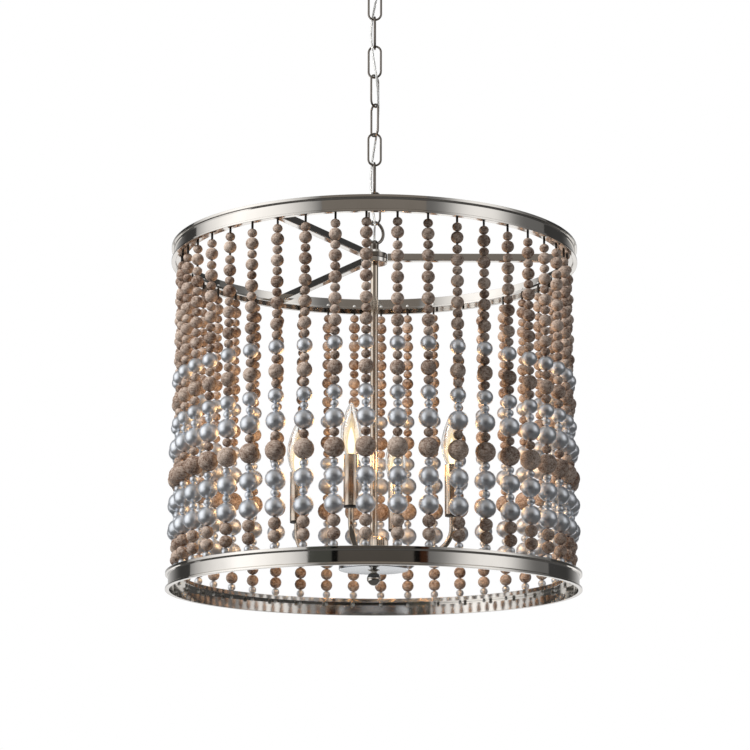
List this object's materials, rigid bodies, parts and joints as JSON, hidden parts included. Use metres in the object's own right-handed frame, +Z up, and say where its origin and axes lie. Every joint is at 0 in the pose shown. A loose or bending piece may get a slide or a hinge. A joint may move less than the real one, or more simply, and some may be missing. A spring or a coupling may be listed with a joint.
{
  "type": "beaded chandelier",
  "caption": "Drum chandelier with strands of wooden and silver beads between two polished rings, candle lights inside and a chain to a ceiling canopy.",
  "frame": {"origin": "middle of the canopy's ceiling plane, on the crossbar's upper face", "axes": "+Z up, out of the ceiling plane; the front in the picture is -Y and +X is to its right"},
  "size_m": [0.5998, 0.5996, 0.9897],
  "materials": {
    "polished_nickel": "polished nickel plate",
    "limed_wood_beads": "limed grey-brown wood, dry and matt, with satin silver beads among them",
    "black_plastic": "moulded phenolic",
    "clear_glass": "clear blown glass, lit warm",
    "clear_cord": "clear insulation over silver wire",
    "zinc_steel": "zinc plated"
  },
  "bodies": {
    "ceiling": {"ceiling_crossbar": "zinc_steel", "canopy": "polished_nickel", "canopy_collar": "polished_nickel", "canopy_loop": "polished_nickel", "supply_cord": "clear_cord"},
    "link_1": {"chain_link_1": "polished_nickel"},
    "chain": {"chain_link_2": "polished_nickel", "chain_link_3": "polished_nickel", "chain_link_4": "polished_nickel", "chain_link_5": "polished_nickel", "chain_link_6": "polished_nickel", "chain_link_7": "polished_nickel"},
    "link_8": {"chain_link_8": "polished_nickel"},
    "drum": {"hanging_loop": "polished_nickel", "loop_nut": "polished_nickel", "hub": "polished_nickel", "spoke_1": "polished_nickel", "spoke_2": "polished_nickel", "spoke_3": "polished_nickel", "upper_ring": "polished_nickel", "strand_set_01": "limed_wood_beads", "strand_set_02": "limed_wood_beads", "strand_set_03": "limed_wood_beads", "strand_set_04": "limed_wood_beads", "strand_set_05": "limed_wood_beads", "strand_set_06": "limed_wood_beads", "strand_set_07": "limed_wood_beads", "strand_set_08": "limed_wood_beads", "strand_set_09": "limed_wood_beads", "strand_set_10": "limed_wood_beads", "strand_set_11": "limed_wood_beads", "strand_set_12": "limed_wood_beads", "strand_set_13": "limed_wood_beads", "strand_set_14": "limed_wood_beads", "lower_ring": "polished_nickel", "down_rod": "polished_nickel", "arm_body": "polished_nickel", "dish": "polished_nickel", "finial": "polished_nickel", "arm_1": "polished_nickel", "arm_2": "polished_nickel", "arm_3": "polished_nickel", "arm_4": "polished_nickel", "socket_1": "black_plastic", "socket_2": "black_plastic", "socket_3": "black_plastic", "socket_4": "black_plastic", "candle_sleeve_1": "polished_nickel", "candle_sleeve_2": "polished_nickel", "candle_sleeve_3": "polished_nickel", "candle_sleeve_4": "polished_nickel"},
    "bulb_1": {"bulb_1": "clear_glass"},
    "bulb_2": {"bulb_2": "clear_glass"},
    "bulb_3": {"bulb_3": "clear_glass"},
    "bulb_4": {"bulb_4": "clear_glass"}
  },
  "joints": [
    {"name": "link_1_swing", "type": "hinge", "parent": "ceiling", "child": "link_1", "pos_m": [0, 0, -0.07185], "axis": [0, 1, 0], "range_deg": [-30, 30], "deforming": ["supply_cord"]},
    {"name": "chain_swing", "type": "hinge", "parent": "link_1", "child": "chain", "pos_m": [0, 0, -0.1178], "axis": [1, 0, 0], "range_deg": [-30, 30], "deforming": ["supply_cord"]},
    {"name": "link_8_swing", "type": "hinge", "parent": "chain", "child": "link_8", "pos_m": [0, 0, -0.3944], "axis": [0.0698, 0.9976, 0], "range_deg": [-30, 30], "deforming": ["supply_cord"]},
    {"name": "drum_swing", "type": "hinge", "parent": "link_8", "child": "drum", "pos_m": [0, 0, -0.4405], "axis": [-0.8829, 0.4695, 0], "range_deg": [-30, 30], "deforming": ["supply_cord"]},
    {"name": "bulb_1_out", "type": "slide", "parent": "drum", "child": "bulb_1", "axis": [0, 0, 1], "range_m": [0, 0.026]},
    {"name": "bulb_2_out", "type": "slide", "parent": "drum", "child": "bulb_2", "axis": [0, 0, 1], "range_m": [0, 0.026]},
    {"name": "bulb_3_out", "type": "slide", "parent": "drum", "child": "bulb_3", "axis": [0, 0, 1], "range_m": [0, 0.026]},
    {"name": "bulb_4_out", "type": "slide", "parent": "drum", "child": "bulb_4", "axis": [0, 0, 1], "range_m": [0, 0.026]}
  ]
}
